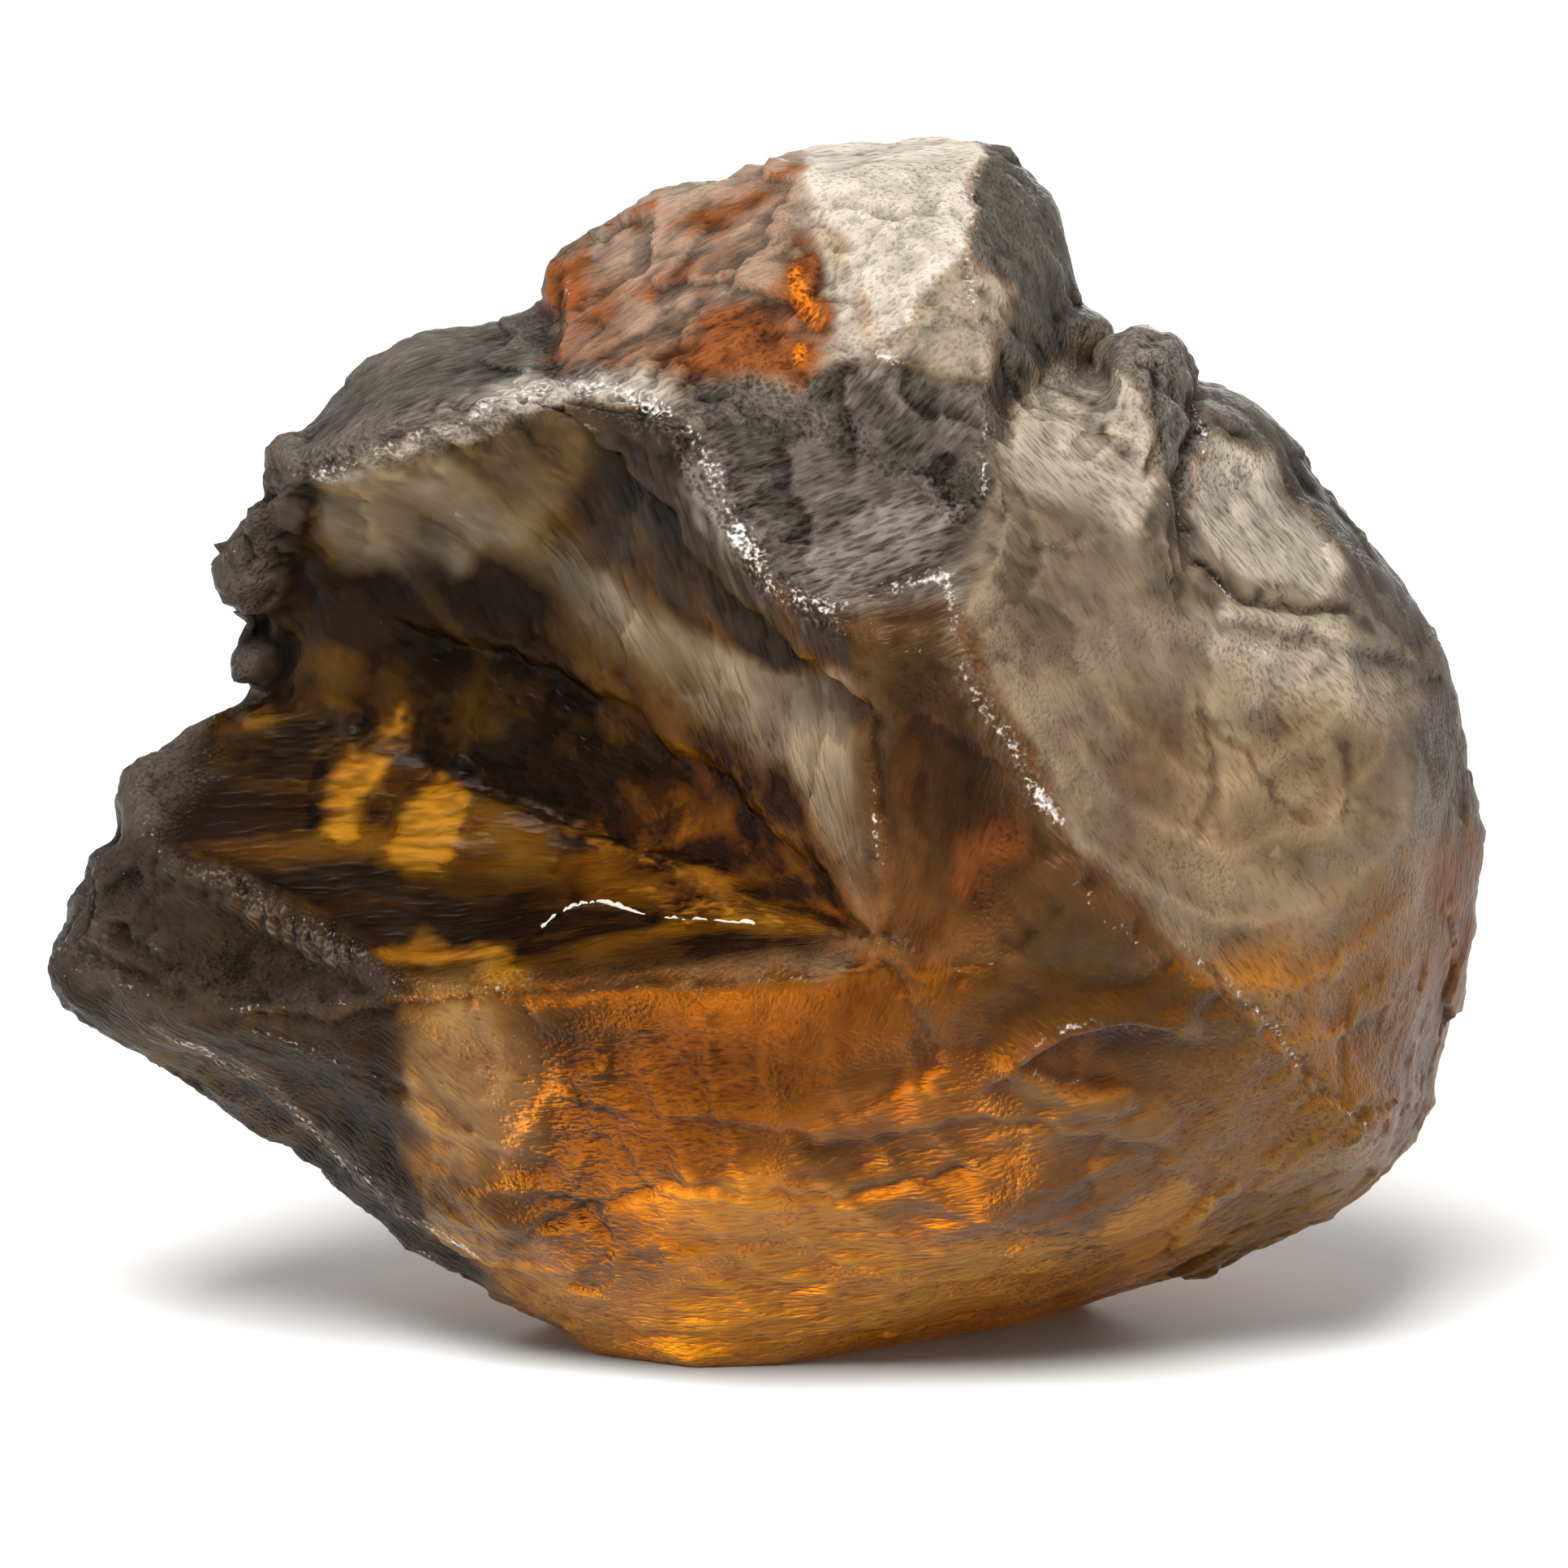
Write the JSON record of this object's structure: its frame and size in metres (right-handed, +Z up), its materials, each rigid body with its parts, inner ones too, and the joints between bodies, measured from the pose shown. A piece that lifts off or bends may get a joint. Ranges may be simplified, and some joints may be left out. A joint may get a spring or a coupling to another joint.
{
  "type": "rough smoky quartz",
  "caption": "Hand-sized lump of rough, see-through smoky quartz with a great hollow on its left and a crest down its front; lies on a small flat.",
  "frame": {"origin": "middle of the base, on the plane of the flat that the stone rests on", "axes": "+X along the longest extent, -Y the show side, +Z up"},
  "size_m": [0.06, 0.0423, 0.0508],
  "materials": {
    "smoky_quartz": "natural broken quartz: frosted grey skin and ridges, clear amber-brown inside, rust stains on top"
  },
  "bodies": {
    "root": {"smoky_quartz": "smoky_quartz"}
  },
  "joints": []
}
